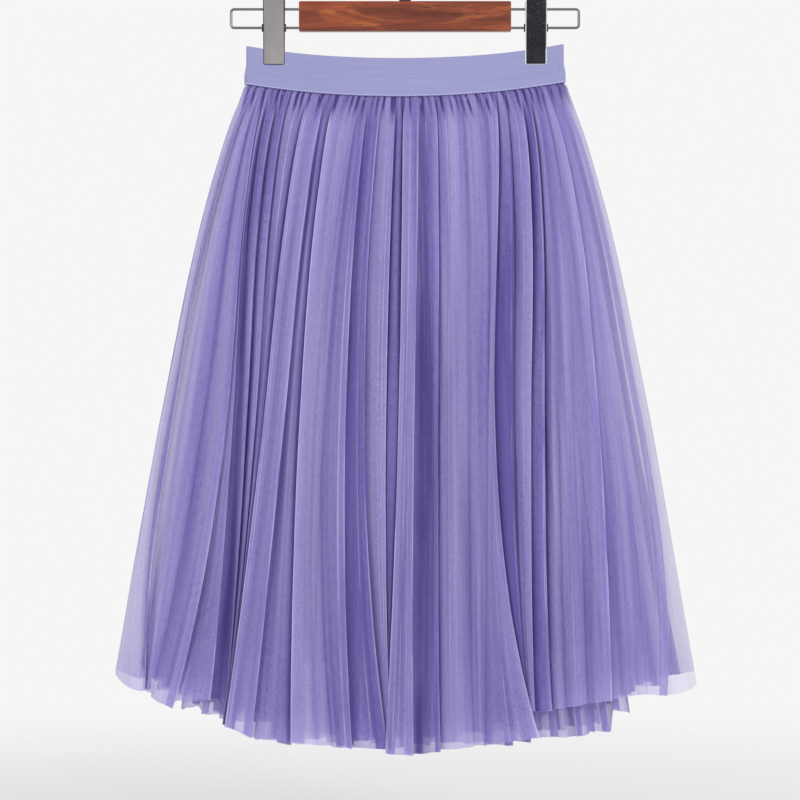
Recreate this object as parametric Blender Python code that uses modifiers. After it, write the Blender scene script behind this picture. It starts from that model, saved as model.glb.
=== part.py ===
"""A gathered tulle skirt with an elastic waistband, hung by two clips from a wooden hanger.

Metres, +Z up. The origin is the inside top of the hook, where a rail holds it. The front faces -Y.
Places around the skirt are shares of each panel: -1 at its left side seam, 0 in the middle, 1 at
its right side seam. Heights are shares of the fall, from 0 at the band's lower edge to 1 at the hem.
"""

import math
from collections import namedtuple

import bmesh
import bpy

GAP = 0.0003

# Waistband: a flat ring of elastic, pinched by the clips near its ends.
BAND_HEIGHT = 0.0405
BAND_WALL = 0.0015
BAND_SIDE_TOP = -0.1232
BAND_SAG = 0.0145
BAND_TILT = 0.001
BAND_TOP_HALF_WIDTH = 0.166
BAND_TOP_BOW = 0.010
BAND_END_RADIUS = 0.0026
PINCH = BAND_WALL / 2 + 0.0002
PINCHED_SHARE = 0.46

# Cloth layers from the outside in, and how far they lap up inside the band.
LAYERS = ("outer", "inner", "lining")
CLOTH_WALL = 0.0012
LAYER_CLEARANCE = 0.0005
LAP = 0.008
TUCK = 0.0005
CENTRE_HEM = -0.860
HEM_RISE = 0.076
HEM_RISE_POWER = 1.7
LINING_LIFT = 0.083
LINING_RISE = 0.5
LINING_SLIMMING = 0.012
INNER_LIFT = 0.006

# The skirt's outer form, and how deep the folds of each layer are, a row for each height.
Form = namedtuple("Form", "fall half_width half_depth side_radius outer_fold inner_fold lining_fold")
FORMS = (
    Form(0.00, 0.1680, 0.012, 0.0075, 0.0000, 0.0000, 0.0000),
    Form(0.07, 0.1845, 0.027, 0.0210, 0.0032, 0.0022, 0.0010),
    Form(0.20, 0.2085, 0.040, 0.0330, 0.0055, 0.0040, 0.0022),
    Form(0.50, 0.2495, 0.057, 0.0470, 0.0085, 0.0060, 0.0035),
    Form(1.00, 0.3075, 0.078, 0.0660, 0.0115, 0.0080, 0.0050),
)

# Front folds of the outer tulle, left to right: the place of each crest at the waist and at the
# hem, how far it stands out, how deep the valley to its right is, and its hem above the lowest.
Fold = namedtuple("Fold", "waist hem crest valley lift")
FRONT_FOLDS = (
    Fold(-0.955, -0.930, 0.8, 0.7, 0.065),
    Fold(-0.910, -0.840, 1.0, 0.8, 0.057),
    Fold(-0.850, -0.770, 0.8, 0.7, 0.055),
    Fold(-0.810, -0.700, 1.0, 0.8, 0.053),
    Fold(-0.710, -0.645, 0.9, 0.8, 0.046),
    Fold(-0.625, -0.570, 1.0, 1.0, 0.043),
    Fold(-0.575, -0.515, 0.8, 0.8, 0.022),
    Fold(-0.510, -0.470, 0.8, 0.6, 0.018),
    Fold(-0.470, -0.430, 1.0, 0.8, 0.015),
    Fold(-0.370, -0.330, 0.9, 0.6, 0.011),
    Fold(-0.300, -0.180, 1.0, 0.8, 0.006),
    Fold(-0.235, -0.130, 0.7, 0.7, 0.005),
    Fold(-0.165, -0.075, 1.0, 1.0, 0.003),
    Fold(-0.080, -0.035, 0.7, 0.6, 0.001),
    Fold(0.010, 0.000, 1.0, 0.7, 0.000),
    Fold(0.080, 0.045, 0.8, 1.0, 0.001),
    Fold(0.150, 0.095, 0.8, 0.6, 0.003),
    Fold(0.225, 0.165, 1.0, 0.9, 0.007),
    Fold(0.305, 0.250, 0.8, 0.7, 0.013),
    Fold(0.350, 0.310, 0.7, 0.7, 0.016),
    Fold(0.390, 0.345, 1.0, 0.9, 0.020),
    Fold(0.445, 0.378, 0.8, 0.6, 0.038),
    Fold(0.510, 0.410, 1.0, 0.6, 0.041),
    Fold(0.560, 0.442, 0.9, 1.0, 0.042),
    Fold(0.630, 0.485, 0.8, 0.6, 0.040),
    Fold(0.690, 0.530, 0.9, 0.7, 0.036),
    Fold(0.750, 0.600, 1.0, 0.8, 0.038),
    Fold(0.810, 0.690, 0.8, 0.7, 0.046),
    Fold(0.870, 0.780, 1.0, 0.8, 0.055),
    Fold(0.920, 0.860, 0.8, 0.7, 0.063),
    Fold(0.960, 0.930, 1.0, 0.6, 0.070),
)
BACK_FOLD_COUNT = 30
INNER_FOLD_COUNT = 24
LINING_FOLD_COUNT = 9

# Hanger: a wooden bar with a wire loop out of each end, and a hook on a collar.
BAR_HALF_LENGTH = 0.1113
BAR_THICKNESS = 0.013
BAR_TOP = -0.0775
BAR_BOTTOM = -0.1090
BAR_EDGE = 0.0015
LOOP_UPPER = -0.0855
LOOP_LOWER = -0.1050
LOOP_END = 0.1825
LOOP_CORNER = 0.003
LOOP_WIRE = 0.0028
COLLAR_RADIUS = 0.0063
COLLAR_HEIGHT = 0.006
HOOK_WIRE = 0.0036
HOOK_INSIDE_RADIUS = 0.019
HOOK_TIP_ANGLE = math.radians(200)
HOOK_BACK_ANGLE = math.radians(-50)

# Clips: two sheet jaws on a spring barrel around the loop's lower wire.
CLIP_X = 0.1375
CLIP_WIDTH = 0.0225
CLIP_SHEET = 0.0012
CLIP_TOP = -0.0685
CLIP_BOTTOM = -0.1439
CLIP_BARREL_RADIUS = 0.0044
CLIP_BARREL_WIDTH = 0.0255
JAW_GRIP = PINCH + BAND_WALL / 2 + GAP
JAW_GRIP_TOP = -0.1262
JAW_AT_PIVOT = CLIP_BARREL_RADIUS + 0.0006
JAW_AT_TOP = 0.0105

LILAC = (0.37, 0.33, 0.66, 1.0)
BAND_LILAC = (0.36, 0.37, 0.63, 1.0)
LINING_LILAC = (0.24, 0.20, 0.50, 1.0)
WOOD = (0.23, 0.055, 0.025, 1.0)
STEEL = (0.55, 0.55, 0.55, 1.0)
DARK_STEEL = (0.03, 0.03, 0.035, 1.0)

for old in list(bpy.data.objects):
    bpy.data.objects.remove(old, do_unlink=True)
skirt = bpy.data.collections.new("gathered_tulle_skirt")
bpy.context.scene.collection.children.link(skirt)


def material(name, colour, roughness, metallic=0.0):
    made = bpy.data.materials.new(name)
    made.use_nodes = True
    shader = made.node_tree.nodes["Principled BSDF"]
    shader.inputs["Base Color"].default_value = colour
    shader.inputs["Roughness"].default_value = roughness
    shader.inputs["Metallic"].default_value = metallic
    return made


def add_object(name, data, look):
    made = bpy.data.objects.new(name, data)
    made.data.materials.append(look)
    skirt.objects.link(made)
    return made


def mix(low, high, share):
    return low + (high - low) * share


def smooth(share):
    share = min(max(share, 0.0), 1.0)
    return share * share * (3 - 2 * share)


# The form of the body


def form_at(fall):
    """The row of FORMS at a height, worked out between its neighbours."""
    rows = [row for row in FORMS if row.fall < fall]
    start = min(max(len(rows) - 1, 0), len(FORMS) - 2)
    low, high = FORMS[start], FORMS[start + 1]
    share = (fall - low.fall) / (high.fall - low.fall)
    return Form(*(mix(a, b, share) for a, b in zip(low, high)))


def layer_size(layer, fall):
    """Half width, half depth, side radius and fold depth of one layer's middle surface."""
    form = form_at(max(fall, 0.0))
    folds = (form.outer_fold, form.inner_fold, form.lining_fold)
    inset, clearance = CLOTH_WALL / 2, LAYER_CLEARANCE
    if fall <= 0:
        inset, clearance = BAND_WALL / 2 + GAP + CLOTH_WALL / 2, GAP
    depth = LAYERS.index(layer)
    inset += folds[0]
    for above, below in zip(folds[:depth], folds[1:]):
        inset += above + below + CLOTH_WALL + clearance
    slimmer = LINING_SLIMMING * max(fall, 0.0) if layer == "lining" else 0.0
    return (
        form.half_width - inset - slimmer,
        form.half_depth - inset,
        form.side_radius - inset,
        folds[depth],
    )


def place_on(share, half_width, side_radius):
    """Where a share of the way to the side seam lies: along the flat, and round the end."""
    flat = half_width - side_radius
    run = abs(share) * (flat + side_radius * math.pi / 2)
    side = math.copysign(1.0, share)
    if run <= flat:
        return side * run / flat, 0.0
    return side, (run - flat) / side_radius


def on_lens(along, turn, half_width, half_depth, side_radius, flatten=0.0):
    """A point of the front half of a section and its outward normal, both in plan."""
    flat = half_width - side_radius
    side = math.copysign(1.0, along)
    if turn > 0:
        normal = (side * math.sin(turn), -math.cos(turn))
        return side * flat + side_radius * normal[0], side_radius * normal[1], normal
    crown = (half_depth - side_radius) * (1 - along * along) ** 2
    slope = -4 * along * (1 - along * along) * (half_depth - side_radius) / flat
    x = along * flat
    y = mix(side_radius + crown, pinched_depth(x, flat), flatten)
    length = math.hypot(slope * (1 - flatten), 1.0)
    return x, -y, (-slope * (1 - flatten) / length, -1.0 / length)


def pinched_depth(x, flat):
    """Half depth of the band where the clips pinch it: bowed between them, open at its ends."""
    near = CLIP_X - CLIP_WIDTH / 2 - 0.001
    far = CLIP_X + CLIP_WIDTH / 2 + 0.001
    if abs(x) < near:
        return mix(PINCH, BAND_TOP_BOW, (1 - (x / near) ** 2) ** 2)
    return mix(PINCH, BAND_END_RADIUS, smooth((abs(x) - far) / (flat - far)))


def band_top(share):
    return BAND_SIDE_TOP - BAND_SAG * (1 - share * share) + BAND_TILT * share


def hem_rise(share):
    return HEM_RISE * abs(share) ** HEM_RISE_POWER


def full_fall(share):
    return band_top(share) - BAND_HEIGHT - CENTRE_HEM - hem_rise(share)


# Walls


def wall_mesh(name, outer, inner, closed):
    """A closed wall between two nets of points, each a list of rings from the top down."""
    mesh = bpy.data.meshes.new(name)
    net = bmesh.new()
    skins = [[[net.verts.new(p) for p in ring] for ring in skin] for skin in (outer, inner)]
    rings = len(outer)
    columns = len(outer[0])
    steps = range(columns if closed else columns - 1)
    for skin in skins:
        for upper, lower in zip(skin, skin[1:]):
            for i in steps:
                j = (i + 1) % columns
                net.faces.new((upper[i], upper[j], lower[j], lower[i]))
    front, back = skins
    for ring in (0, rings - 1):
        for i in steps:
            j = (i + 1) % columns
            net.faces.new((front[ring][i], front[ring][j], back[ring][j], back[ring][i]))
    if not closed:
        for i in (0, columns - 1):
            for k in range(rings - 1):
                net.faces.new((front[k][i], front[k + 1][i], back[k + 1][i], back[k][i]))
    bmesh.ops.recalc_face_normals(net, faces=net.faces)
    net.to_mesh(mesh)
    net.free()
    mesh.shade_smooth()
    mesh.set_sharp_from_angle(angle=math.radians(60))
    return mesh


def build_band(look):
    """The elastic ring, through four sections from its top edge to its lower edge."""
    flat_steps = [i / 13 for i in range(-13, 14)]
    turns = [math.radians(angle) for angle in (18, 36, 54, 72)]
    half = [(-1.0, turn) for turn in reversed(turns)]
    half += [(along, 0.0) for along in flat_steps]
    half += [(1.0, turn) for turn in turns]
    places = [(-1.0, math.pi / 2, -1)] + [(*place, 1) for place in half]
    places += [(1.0, math.pi / 2, 1)] + [(*place, -1) for place in reversed(half)]
    low = FORMS[0]
    lap_share = 1 - LAP / BAND_HEIGHT
    sections = (
        (0.0, BAND_TOP_HALF_WIDTH, BAND_TOP_BOW, BAND_END_RADIUS, 1.0),
        (PINCHED_SHARE, BAND_TOP_HALF_WIDTH, BAND_TOP_BOW, BAND_END_RADIUS, 1.0),
        (lap_share, low.half_width, low.half_depth, low.side_radius, 0.0),
        (1.0, low.half_width, low.half_depth, low.side_radius, 0.0),
    )
    outer, inner = [], []
    for down, half_width, half_depth, side_radius, flatten in sections:
        rows = ([], [])
        for along, turn, facing in places:
            x, y, normal = on_lens(along, turn, half_width, half_depth, side_radius, flatten)
            z = band_top(x / half_width) - down * BAND_HEIGHT
            for row, out in zip(rows, (BAND_WALL / 2, -BAND_WALL / 2)):
                row.append((x + out * normal[0], facing * (y + out * normal[1]), z))
        outer.append(rows[0])
        inner.append(rows[1])
    add_object("waistband", wall_mesh("waistband", outer, inner, True), look)


# Gathered panels


def spread_folds(count, lift, rise, turn):
    """Evenly spread folds that wander a little, as gathers do."""
    folds = []
    for i in range(count):
        waist = (2 * i + 1) / count - 1 + 0.24 / count * math.sin(2.3 * i + turn)
        hem = (2 * i + 1) / count - 1 + 0.45 / count * math.sin(1.7 * i + 2 * turn)
        crest = 0.85 + 0.15 * math.sin(2.9 * i + turn)
        valley = 0.80 + 0.20 * math.sin(4.1 * i + turn)
        uneven = 0.003 * math.sin(3.3 * i + turn)
        folds.append(Fold(waist, hem, crest, valley, lift + rise * hem_rise(hem) + uneven))
    return folds


def fold_columns(folds, steps, side_lift):
    """Columns across a panel: seam, then crest and valley in turn, with points between."""
    turning = [Fold(-1.0, -1.0, 0.0, 0.0, side_lift)]
    for fold, after in zip(folds, folds[1:] + [None]):
        turning.append(fold._replace(valley=0.0))
        if after:
            middle = [(a + b) / 2 for a, b in zip(fold, after)]
            turning.append(Fold(middle[0], middle[1], -fold.valley, 0.0, middle[4]))
    turning.append(Fold(1.0, 1.0, 0.0, 0.0, side_lift))
    columns = []
    for start, end in zip(turning, turning[1:]):
        for step in range(steps):
            columns.append(Fold(*(mix(a, b, step / steps) for a, b in zip(start, end))))
    return columns + [turning[-1]]


def ring_points(layer, columns, fall_of, facing):
    """One ring of a gathered panel: middle points in plan, with their places and heights."""
    ring = []
    for column in columns:
        fall = fall_of(column)
        share = mix(column.waist, column.hem, min(max(fall, 0.0), 1.0))
        half_width, half_depth, side_radius, fold = layer_size(layer, fall)
        half_arc = half_width - side_radius * (1 - math.pi / 2)
        share = math.copysign(min(abs(share), 1 - GAP / 2 / half_arc), share)
        along, turn = place_on(share, half_width, side_radius)
        x, y, normal = on_lens(along, turn, half_width, half_depth, side_radius)
        out = column.crest * fold
        z = band_top(share) - BAND_HEIGHT - fall * full_fall(share)
        if fall == 0:
            z -= TUCK
        if fall < 0:
            z = band_top(share) - BAND_HEIGHT + LAP
        ring.append((x + out * normal[0], y + out * normal[1], z, normal))
    return [(x, facing * y, z, (normal[0], facing * normal[1])) for x, y, z, normal in ring]


def offset_ring(ring, out):
    """A ring moved out along its own folded normal; the ends keep the plain section's normal."""
    moved = []
    last = len(ring) - 1
    for i, (x, y, z, normal) in enumerate(ring):
        if 0 < i < last:
            dx = ring[i + 1][0] - ring[i - 1][0]
            dy = ring[i + 1][1] - ring[i - 1][1]
            length = math.hypot(dx, dy)
            across = (dy / length, -dx / length)
            side = math.copysign(1.0, across[0] * normal[0] + across[1] * normal[1])
            normal = (side * across[0], side * across[1])
        moved.append((x + out * normal[0], y + out * normal[1], z))
    return moved


def build_panel(name, layer, folds, steps, side_lift, facing, look):
    columns = fold_columns(list(folds), steps, side_lift)

    def hem_fall(column):
        return 1 - (column.lift - hem_rise(column.hem)) / full_fall(column.hem)

    shortest = min(hem_fall(column) for column in columns)
    heights = [-1.0] + [row.fall for row in FORMS if row.fall < shortest - 0.02]
    rings = [ring_points(layer, columns, lambda column, f=f: f, facing) for f in heights]
    rings.append(ring_points(layer, columns, hem_fall, facing))
    outer = [offset_ring(ring, CLOTH_WALL / 2) for ring in rings]
    inner = [offset_ring(ring, -CLOTH_WALL / 2) for ring in rings]
    add_object(name, wall_mesh(name, outer, inner, False), look)


def build_cloth():
    tulle = material("lilac tulle", LILAC, 0.8)
    lining = material("lilac lining", LINING_LILAC, 0.6)
    build_band(material("lilac elastic", BAND_LILAC, 0.7))
    back = spread_folds(BACK_FOLD_COUNT, 0.0, 1.0, 0.6)
    side = HEM_RISE
    build_panel("tulle_outer_front", "outer", FRONT_FOLDS, 2, side, 1, tulle)
    build_panel("tulle_outer_back", "outer", back, 2, side, -1, tulle)
    for facing, turn, end in ((1, 1.9, "front"), (-1, 3.1, "back")):
        folds = spread_folds(INNER_FOLD_COUNT, INNER_LIFT, 1.0, turn)
        build_panel("tulle_inner_" + end, "inner", folds, 1, INNER_LIFT + side, facing, tulle)
        folds = spread_folds(LINING_FOLD_COUNT, LINING_LIFT, LINING_RISE, turn)
        low = LINING_LIFT + LINING_RISE * side
        build_panel("lining_" + end, "lining", folds, 2, low, facing, lining)


# Hanger


def wire(name, points, diameter, look):
    curve = bpy.data.curves.new(name, "CURVE")
    curve.dimensions = "3D"
    curve.bevel_depth = diameter / 2
    curve.bevel_resolution = 2
    curve.use_fill_caps = True
    line = curve.splines.new("POLY")
    line.points.add(len(points) - 1)
    for spot, point in zip(line.points, points):
        spot.co = (*point, 1.0)
    return add_object(name, curve, look)


def arc(centre, radius, start, end, steps):
    """Points in the XZ plane from one angle to another."""
    angles = [mix(start, end, i / steps) for i in range(steps + 1)]
    return [(centre[0] + radius * math.cos(a), 0.0, centre[1] + radius * math.sin(a)) for a in angles]


def build_bar(look):
    bpy.ops.mesh.primitive_cube_add(size=1.0)
    bar = bpy.context.object
    for collection in list(bar.users_collection):
        collection.objects.unlink(bar)
    skirt.objects.link(bar)
    bar.name = "hanger_bar"
    height = BAR_TOP - BAR_BOTTOM
    for corner in bar.data.vertices:
        corner.co.x *= 2 * BAR_HALF_LENGTH
        corner.co.y *= BAR_THICKNESS
        corner.co.z *= height
    bar.location.z = (BAR_TOP + BAR_BOTTOM) / 2
    bar.data.materials.append(look)
    bevel = bar.modifiers.new("edges", "BEVEL")
    bevel.width = BAR_EDGE
    bevel.segments = 2
    bar.data.shade_smooth()
    bar.data.set_sharp_from_angle(angle=math.radians(50))


def build_loop(side, name, look):
    """A U of wire out of the bar's end, with rounded corners."""
    start = BAR_HALF_LENGTH + GAP
    bend = LOOP_END - LOOP_CORNER
    upper = arc((bend, LOOP_UPPER - LOOP_CORNER), LOOP_CORNER, math.pi / 2, 0.0, 3)
    lower = arc((bend, LOOP_LOWER + LOOP_CORNER), LOOP_CORNER, 0.0, -math.pi / 2, 3)
    points = [(start, 0.0, LOOP_UPPER)] + upper + lower + [(start, 0.0, LOOP_LOWER)]
    wire(name, [(side * x, y, z) for x, y, z in points], LOOP_WIRE, look)


def build_hook(look):
    """A round hook that swings back over the stem by a second, opposite arc."""
    radius = HOOK_INSIDE_RADIUS + HOOK_WIRE / 2
    crown = arc((0.0, -HOOK_INSIDE_RADIUS), radius, HOOK_TIP_ANGLE, HOOK_BACK_ANGLE, 22)
    leaving = crown[-1]
    neck_radius = leaving[0] / (1 - math.cos(HOOK_BACK_ANGLE))
    centre = (neck_radius, leaving[2] + neck_radius * math.sin(HOOK_BACK_ANGLE))
    neck = arc(centre, neck_radius, math.pi + HOOK_BACK_ANGLE, math.pi, 5)
    foot = (0.0, 0.0, BAR_TOP + GAP + COLLAR_HEIGHT + GAP)
    wire("hanger_hook", crown + neck[1:] + [foot], HOOK_WIRE, look)


def turned(name, corners, look, steps, quarter_turn=False):
    """A closed profile of (radius, length) corners, turned about Z, or about X if laid over."""
    mesh = bpy.data.meshes.new(name)
    net = bmesh.new()
    spots = [net.verts.new((radius, 0.0, length)) for radius, length in corners]
    for start, end in zip(spots, spots[1:]):
        net.edges.new((start, end))
    if corners[0][0] > 0:
        net.edges.new((spots[-1], spots[0]))
    net.to_mesh(mesh)
    net.free()
    made = add_object(name, mesh, look)
    screw = made.modifiers.new("turn", "SCREW")
    screw.steps = steps
    screw.render_steps = steps
    screw.use_merge_vertices = True
    screw.merge_threshold = 0.00001
    if quarter_turn:
        made.rotation_euler.y = math.pi / 2
    return made


def build_collar(look):
    low = BAR_TOP + GAP
    high = low + COLLAR_HEIGHT
    soft = 0.001
    corners = (
        (0.0, high),
        (COLLAR_RADIUS - soft, high),
        (COLLAR_RADIUS, high - soft),
        (COLLAR_RADIUS, low),
        (0.0, low),
    )
    turned("hanger_collar", corners, look, 20)


def build_clip(side, name, look, barrel_look):
    """Two sheet jaws that spread upward, and the barrel that they turn on."""
    inside = (
        (JAW_GRIP, CLIP_BOTTOM),
        (JAW_GRIP, JAW_GRIP_TOP),
        (JAW_AT_PIVOT, LOOP_LOWER),
        (JAW_AT_TOP, CLIP_TOP),
    )
    for facing, end in ((-1, "_front"), (1, "_back")):
        curve = bpy.data.curves.new(name + end, "CURVE")
        curve.dimensions = "2D"
        curve.fill_mode = "BOTH"
        curve.extrude = CLIP_WIDTH / 2
        outline = [(facing * y, z) for y, z in inside]
        outline += [(facing * (y + CLIP_SHEET), z) for y, z in reversed(inside)]
        line = curve.splines.new("POLY")
        line.points.add(len(outline) - 1)
        for spot, (y, z) in zip(line.points, outline):
            spot.co = (y, z, 0.0, 1.0)
        line.use_cyclic_u = True
        jaw = add_object(name + end, curve, look)
        jaw.rotation_euler = (math.pi / 2, 0.0, math.pi / 2)
        jaw.location.x = side * CLIP_X
    bore = LOOP_WIRE / 2 + GAP
    half = CLIP_BARREL_WIDTH / 2
    corners = (
        (bore, half),
        (CLIP_BARREL_RADIUS, half),
        (CLIP_BARREL_RADIUS, -half),
        (bore, -half),
    )
    barrel = turned(name + "_barrel", corners, barrel_look, 16, True)
    barrel.location = (side * CLIP_X, 0.0, LOOP_LOWER)


def build_hanger():
    steel = material("light steel", STEEL, 0.35, 1.0)
    dark = material("dark steel", DARK_STEEL, 0.3, 1.0)
    build_bar(material("red brown lacquered wood", WOOD, 0.3))
    build_collar(dark)
    build_hook(dark)
    build_loop(-1, "hanger_loop_left", steel)
    build_loop(1, "hanger_loop_right", steel)
    build_clip(-1, "clip_left", steel, dark)
    build_clip(1, "clip_right", dark, dark)


build_cloth()
build_hanger()
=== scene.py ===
"""The looks of a gathered lilac tulle skirt hanging from a wooden clip hanger.

Metres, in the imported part's own frame: the origin is the inside top of the hook, the front faces -Y.
Places across a panel are seen from the front, left to right. Heights are shares of the fall, from 0
at the waistband's lower edge to 1 at the hem.
"""

import math
import random
from collections import namedtuple

import bmesh
import bpy
import numpy as np
from mathutils import Matrix, Vector, noise


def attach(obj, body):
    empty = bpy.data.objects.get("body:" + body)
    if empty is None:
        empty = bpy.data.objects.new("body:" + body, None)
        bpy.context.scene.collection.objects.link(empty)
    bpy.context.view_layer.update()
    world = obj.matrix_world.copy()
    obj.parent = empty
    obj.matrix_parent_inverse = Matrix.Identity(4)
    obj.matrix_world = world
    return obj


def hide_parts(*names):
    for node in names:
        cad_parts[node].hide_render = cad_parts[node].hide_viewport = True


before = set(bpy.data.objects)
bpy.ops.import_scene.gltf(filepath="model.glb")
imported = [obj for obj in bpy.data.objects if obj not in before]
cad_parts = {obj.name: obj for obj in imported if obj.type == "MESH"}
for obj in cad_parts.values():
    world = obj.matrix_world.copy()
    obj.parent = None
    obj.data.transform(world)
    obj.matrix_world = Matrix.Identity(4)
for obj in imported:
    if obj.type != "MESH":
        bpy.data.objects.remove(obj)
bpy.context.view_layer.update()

# The solids' own sizes, which the cloth follows.
GAP = 0.0003
BAND_HEIGHT = 0.0405
BAND_WALL = 0.0015
BAND_SIDE_TOP = -0.1232
BAND_SAG = 0.0145
BAND_TILT = 0.001
BAND_TOP_HALF_WIDTH = 0.166
BAND_TOP_BOW = 0.010
BAND_END_RADIUS = 0.0026
PINCH = BAND_WALL / 2 + 0.0002
PINCHED_SHARE = 0.46
LAYERS = ("outer", "inner", "lining")
CLOTH_WALL = 0.0012
LAYER_CLEARANCE = 0.0005
LAP = 0.008
CENTRE_HEM = -0.860
HEM_RISE = 0.076
HEM_RISE_POWER = 1.7
LINING_LIFT = 0.083
LINING_RISE = 0.5
LINING_SLIMMING = 0.012
CLIP_X = 0.1375
CLIP_WIDTH = 0.0225
CLIP_SHEET = 0.0012
CLIP_TOP = -0.0685
CLIP_BOTTOM = -0.1439
JAW_GRIP = PINCH + BAND_WALL / 2 + GAP
JAW_GRIP_TOP = -0.1262
JAW_AT_TOP = 0.0105
BARREL_RADIUS = 0.0044
BARREL_WIDTH = 0.0255
LOOP_LOWER = -0.1050

# The skirt's form: half width, half depth and side radius, and how deep each layer's folds are.
Form = namedtuple("Form", "fall half_width half_depth side_radius outer inner lining")
FORMS = (
    Form(0.00, 0.1680, 0.012, 0.0075, 0.0000, 0.0000, 0.0000),
    Form(0.07, 0.1845, 0.027, 0.0210, 0.0032, 0.0022, 0.0010),
    Form(0.20, 0.2085, 0.040, 0.0330, 0.0055, 0.0040, 0.0022),
    Form(0.50, 0.2495, 0.057, 0.0470, 0.0085, 0.0060, 0.0035),
    Form(1.00, 0.3075, 0.078, 0.0660, 0.0115, 0.0080, 0.0050),
)

# Plates of folded tulle on the front, left to right: each one's edges at three heights, how far
# it stands out, which edge turns back under it, how its hem runs, the plies in it, how deep the
# trough to its right is and how much painted shade it holds, and its tone (painted light and
# shade mixed with its own colour, making it lighter or darker).
ROW_HEIGHTS = (0.02, 0.44, 0.90)
Plate = namedtuple(
    "Plate",
    "waist_left waist_right middle_left middle_right low_left low_right"
    " height turned hem_left hem_right plies trough tone",
)
FRONT_PLATES = (
    Plate(-0.170, -0.165, -0.251, -0.236, -0.302, -0.270, 1.0, "wing", 0.082, 0.068, 3.0, 0.0, -0.2),
    Plate(-0.165, -0.161, -0.236, -0.229, -0.270, -0.265, 0.6, "right", 0.070, 0.069, 3.2, 0.1, -0.1),
    Plate(-0.161, -0.155, -0.228, -0.202, -0.264, -0.251, 0.6, "soft", 0.068, 0.060, 3.6, 0.2, 0.2),
    Plate(-0.155, -0.149, -0.201, -0.179, -0.250, -0.223, 0.7, "right", 0.056, 0.044, 3.6, 0.1, 0.1),
    Plate(-0.149, -0.145, -0.179, -0.175, -0.222, -0.196, 0.8, "right", 0.052, 0.055, 3.6, 1.0, 0.0),
    Plate(-0.142, -0.134, -0.168, -0.161, -0.182, -0.180, 0.6, "right", 0.030, 0.030, 3.6, 0.7, -0.3),
    Plate(-0.132, -0.124, -0.159, -0.151, -0.180, -0.178, 0.6, "right", 0.030, 0.030, 3.6, 0.6, -0.2),
    Plate(-0.122, -0.107, -0.150, -0.142, -0.179, -0.177, 0.5, "soft", 0.029, 0.029, 3.6, 0.5, -0.1),
    Plate(-0.104, -0.086, -0.141, -0.120, -0.176, -0.150, 0.9, "both", 0.028, 0.016, 3.6, 0.2, 0.1),
    Plate(-0.084, -0.078, -0.119, -0.108, -0.149, -0.119, 0.5, "soft", 0.016, 0.014, 3.6, 0.6, -0.1),
    Plate(-0.077, -0.050, -0.106, -0.082, -0.117, -0.082, 0.9, "left", 0.013, 0.010, 3.6, 0.1, 0.5),
    Plate(-0.049, -0.040, -0.081, -0.060, -0.081, -0.058, 0.5, "right", 0.009, 0.007, 3.2, 0.2, -0.2),
    Plate(-0.039, -0.026, -0.058, -0.042, -0.057, -0.026, 0.6, "right", 0.008, 0.006, 3.4, 0.2, -0.8),
    Plate(-0.025, -0.010, -0.040, -0.019, -0.025, -0.017, 0.7, "right", 0.006, 0.006, 3.6, 1.0, 0.1),
    Plate(-0.008, -0.003, -0.018, -0.007, -0.018, -0.017, 0.3, "soft", 0.005, 0.005, 3.6, 0.8, -0.5),
    Plate(-0.002, 0.014, -0.006, 0.010, -0.017, 0.008, 0.8, "both", 0.001, 0.000, 3.6, 1.0, 0.0),
    Plate(0.017, 0.033, 0.026, 0.034, 0.026, 0.035, 0.8, "right", 0.002, 0.003, 3.6, 0.5, -0.6),
    Plate(0.034, 0.060, 0.037, 0.065, 0.037, 0.068, 0.9, "soft", 0.005, 0.008, 3.6, 0.1, 0.5),
    Plate(0.061, 0.079, 0.066, 0.086, 0.069, 0.083, 0.6, "soft", 0.009, 0.010, 3.6, 0.1, 0.1),
    Plate(0.080, 0.096, 0.086, 0.092, 0.083, 0.121, 0.9, "right", 0.010, 0.015, 3.6, 0.8, 0.1),
    Plate(0.098, 0.106, 0.095, 0.113, 0.122, 0.124, 0.3, "soft", 0.040, 0.042, 3.6, 0.6, -1.2),
    Plate(0.107, 0.122, 0.115, 0.131, 0.124, 0.132, 0.7, "right", 0.044, 0.044, 3.6, 0.7, 0.0),
    Plate(0.124, 0.131, 0.132, 0.144, 0.134, 0.149, 0.8, "right", 0.044, 0.045, 3.6, 0.9, -0.8),
    Plate(0.132, 0.137, 0.147, 0.158, 0.151, 0.165, 0.3, "soft", 0.046, 0.048, 3.6, 0.1, 0.2),
    Plate(0.138, 0.145, 0.159, 0.176, 0.165, 0.187, 0.45, "soft", 0.048, 0.052, 3.4, 0.0, 0.3),
    Plate(0.145, 0.152, 0.177, 0.196, 0.187, 0.212, 0.4, "right", 0.052, 0.056, 3.2, 0.0, 0.4),
    Plate(0.152, 0.158, 0.197, 0.216, 0.213, 0.246, 0.35, "soft", 0.057, 0.063, 2.8, 0.0, 0.4),
    Plate(0.159, 0.165, 0.217, 0.236, 0.247, 0.272, 0.35, "right", 0.062, 0.064, 2.2, 0.0, 0.3),
    Plate(0.165, 0.170, 0.236, 0.248, 0.273, 0.303, 1.0, "wing", 0.065, 0.070, 1.3, 0.0, 0.1),
)

# The inner tulle's hem: shares of the way from the middle to the seam, and the rise above the lowest.
INNER_HEMS = (
    (-1.0, 0.080),
    (-0.89, 0.064),
    (-0.82, 0.047),
    (-0.72, 0.037),
    (-0.57, 0.025),
    (-0.52, 0.014),
    (-0.30, 0.010),
    (0.0, 0.005),
    (0.30, 0.008),
    (0.54, 0.014),
    (0.73, 0.022),
    (0.76, 0.042),
    (0.81, 0.045),
    (0.84, 0.058),
    (1.0, 0.078),
)

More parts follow.
